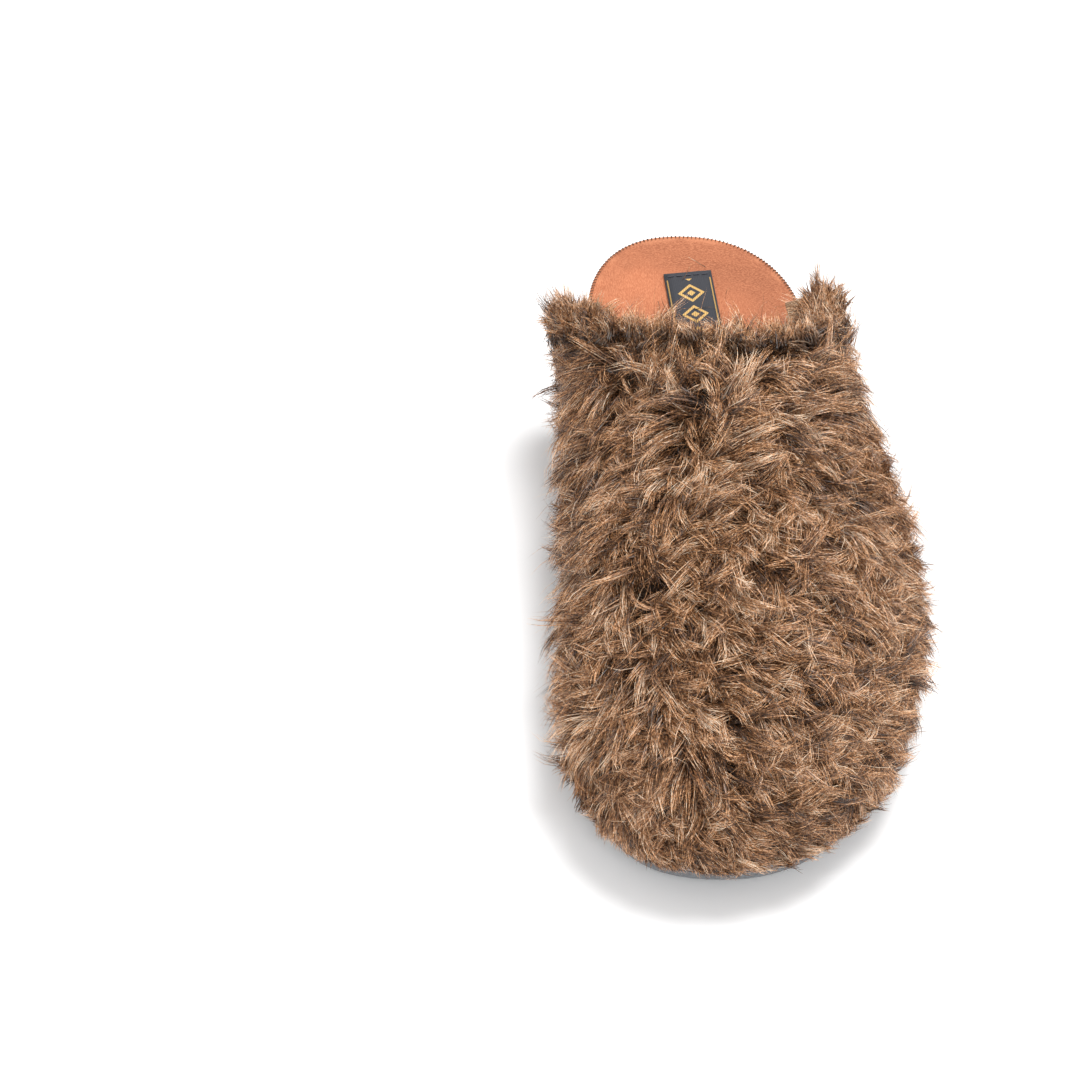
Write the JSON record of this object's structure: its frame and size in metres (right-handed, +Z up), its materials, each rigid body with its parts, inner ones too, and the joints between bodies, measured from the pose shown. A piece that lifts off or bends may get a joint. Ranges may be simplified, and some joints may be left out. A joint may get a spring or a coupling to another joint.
{
  "type": "fluffy house slipper",
  "caption": "Open-backed house slipper for a left foot, with a long-pile fur upper, a suede footbed and a grooved foam sole.",
  "frame": {"origin": "centre of the bounding box on the floor plane, under the sole", "axes": "+Y from toe to heel, +X towards the little-toe side, +Z up"},
  "size_m": [0.1198, 0.2711, 0.0899],
  "materials": {
    "outsole": "fine-grained matt foam rubber",
    "midsole": "speckled matt EVA foam",
    "filler": "felt",
    "board": "pressed fibreboard",
    "foam": "open-cell foam",
    "suede": "brushed suede",
    "edge_thread": "spun polyester thread",
    "label": "woven satin ribbon",
    "label_thread": "lustrous thread",
    "lining": "short pile fleece",
    "padding": "needled wadding",
    "stiffener": "impregnated non-woven",
    "fur": "long-pile faux fur",
    "binding": "ribbed tape",
    "pale_thread": "spun polyester thread"
  },
  "bodies": {
    "root": {"outsole": "outsole", "midsole_wedge": "midsole", "bottom_filler": "filler", "insole_board": "board", "footbed_foam": "foam", "footbed_cover": "suede", "footbed_edge_stitching": "edge_thread", "woven_label": "label", "label_stitching": "label_thread", "upper_lining": "lining", "upper_padding": "padding", "toe_puff": "stiffener", "medial_stiffener": "stiffener", "lateral_stiffener": "stiffener", "fur_upper": "fur", "topline_binding": "binding", "binding_stitching": "pale_thread"}
  },
  "joints": []
}
